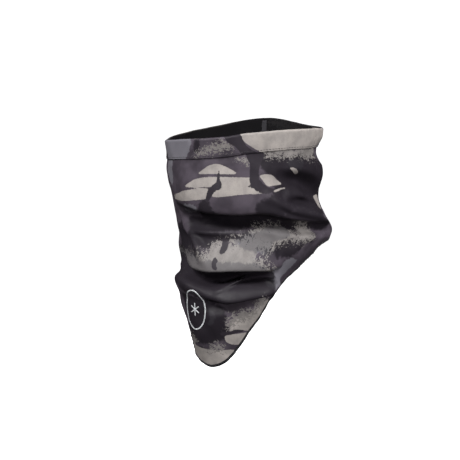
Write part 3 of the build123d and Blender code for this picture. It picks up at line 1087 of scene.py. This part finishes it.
outer_shell = panel("gaiter_outer_shell", 0.0, SHELL_THICK, SHELL_COLS, SHELL_ROWS)
fleece_lining = make_lining()
collar_band = folded("gaiter_collar_band", rim_height, BAND_COLS, BAND_WIDTH, BAND_THICK, 18, 10)
hem_binding = folded("gaiter_hem_binding", hem_height, HEM_COLS, BINDING_WIDTH, BINDING_THICK, 4, 8)
collar_topstitch = running_row(
    "gaiter_collar_topstitch", rim_height, BAND_WIDTH - TOPSTITCH_INSET, LAYER_GAP / 2 + BAND_THICK
)
hem_topstitch = running_row(
    "gaiter_hem_topstitch", hem_height, BINDING_WIDTH - TOPSTITCH_INSET / 2, LAYER_GAP / 2 + BINDING_THICK
)
back_seam_flatlock = make_flatlock()
back_seam_tape = make_seam_tape()
chest_emblem = make_emblem()


# --- print and finish
INNER_FADE = 3.0  # past the rim the painted shade of the inner leaf comes in over this distance


def flat_places(piece):
    """Places on the flat cloth of one side of a closed sheet."""
    values = np.empty(len(piece.data.vertices) * 3, np.float32)
    piece.data.attributes["cloth"].data.foreach_get("vector", values)
    return values.reshape(-1, 3)[: len(piece.data.vertices) // 2]


print_on(outer_shell, flat_places(outer_shell), SHELL_PRINT)
print_on(collar_band, flat_places(collar_band), COLLAR_PRINT)
inner_leaf = np.clip((flat_places(collar_band)[:, 1] - BAND_WIDTH) / INNER_FADE, 0, 1)
note_value(collar_band, "inner", np.concatenate([inner_leaf, inner_leaf]))

softshell = printed_shell()
COLLAR_THREAD, HEM_THREAD, SEAM_THREAD = (0.05, 0.045, 0.052), (0.03, 0.028, 0.032), (0.06, 0.055, 0.064)
PIECES = [
    (outer_shell, "outer_shell", "shell_print", softshell),
    (fleece_lining, "fleece_lining", "fleece", brushed_fleece()),
    (collar_band, "collar_band", "shell_print", softshell),
    (hem_binding, "hem_binding", "binding", ribbed_binding()),
    (collar_topstitch, "collar_topstitch", "thread", sewing_thread("collar thread", COLLAR_THREAD)),
    (hem_topstitch, "hem_topstitch", "thread", sewing_thread("hem thread", HEM_THREAD)),
    (back_seam_flatlock, "back_seam_flatlock", "thread", sewing_thread("seam thread", SEAM_THREAD)),
    (back_seam_tape, "back_seam_tape", "seam_tape", seam_tape()),
    (chest_emblem, "chest_emblem", "emblem", transfer_print()),
]
for piece, node, slot, material in PIECES:
    piece.data.materials.append(material)
    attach(piece, "root")
    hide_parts(node)


# --- camera, floor and light
VIEW_AZIMUTH = math.radians(33)
VIEW_HEIGHT = math.radians(5)
VIEW_DISTANCE = 1.6
LOOK_AT = (-0.0129, -0.0084, 0.0055)
SENSOR_WIDTH, FOCAL_LENGTH = 36, 114  # millimetres


def make_camera():
    camera = add_object("camera", bpy.data.cameras.new("camera"))
    back = (
        math.sin(VIEW_AZIMUTH) * math.cos(VIEW_HEIGHT),
        -math.cos(VIEW_AZIMUTH) * math.cos(VIEW_HEIGHT),
        math.sin(VIEW_HEIGHT),
    )
    camera.location = [a + b * VIEW_DISTANCE for a, b in zip(LOOK_AT, back)]
    camera.rotation_euler = (math.pi / 2 - VIEW_HEIGHT, 0, VIEW_AZIMUTH)
    camera.data.sensor_width = SENSOR_WIDTH
    camera.data.lens = FOCAL_LENGTH
    bpy.context.scene.camera = camera


def area_light(name, place, size, power, shows=True):
    """Round light that points at the gaiter. One that does not show makes no highlight of its own."""
    light = bpy.data.lights.new(name, "AREA")
    light.shape = "DISK"
    light.size = size
    light.energy = power
    lamp = add_object(name, light)
    lamp.location = place
    lamp.visible_glossy = shows
    lamp.rotation_euler = (-Vector(place)).to_track_quat("-Z", "Y").to_euler()


def make_stage():
    """White floor that curves up into a round backdrop. It shines evenly, and lights nothing else."""
    level, reach, bend, top, turns = -0.30, 3.4, 1.2, 5.0, 48
    quarter = steps(0, math.pi / 2, 12)
    curve = [(reach + bend * math.sin(a), bend - bend * math.cos(a)) for a in quarter]
    profile = [(0.1, 0.0), *curve, (reach + bend, top)]
    points, faces = [], [tuple(range(turns))]
    for away, high in profile:
        for i in range(turns):
            angle = 2 * math.pi * i / turns
            points.append((away * math.sin(angle), away * math.cos(angle), level + high))
    for ring in range(len(profile) - 1):
        for i in range(turns):
            low, high, j = ring * turns, (ring + 1) * turns, (i + 1) % turns
            faces.append((low + i, high + i, high + j, low + j))
    floor = new_piece("floor", np.array(points) / MM, faces)
    m = Nodes("pale floor")
    m.set(Base_Color=(0.8, 0.8, 0.8, 1), Roughness=1.0)
    m.set(Emission_Color=(1, 1, 1, 1), Emission_Strength=1.0)
    floor.data.materials.append(m.material)
    floor.visible_diffuse = floor.visible_glossy = floor.visible_transmission = False


make_camera()
make_stage()
area_light("key", (-0.05, -1.53, 1.29), 0.5, 28)
area_light("right fill", (1.42, -0.57, 1.29), 0.5, 17)
area_light("front fill", (1.4, -1.15, 0.12), 0.4, 8, shows=False)
area_light("left fill", (-1.4, -0.95, 1.0), 0.6, 14, shows=False)
area_light("right side", (1.7, 0.45, 0.7), 0.6, 14, shows=False)
area_light("back left", (-1.4, 0.95, 1.0), 0.6, 12, shows=False)
area_light("back right", (0.3, 1.64, 1.1), 0.6, 18, shows=False)
world = bpy.data.worlds.new("studio")
world.use_nodes = True
background = world.node_tree.nodes["Background"].inputs
background["Color"].default_value = (1, 1, 1, 1)
background["Strength"].default_value = 0.01
bpy.context.scene.world = world
bpy.context.scene.view_settings.view_transform = "Standard"
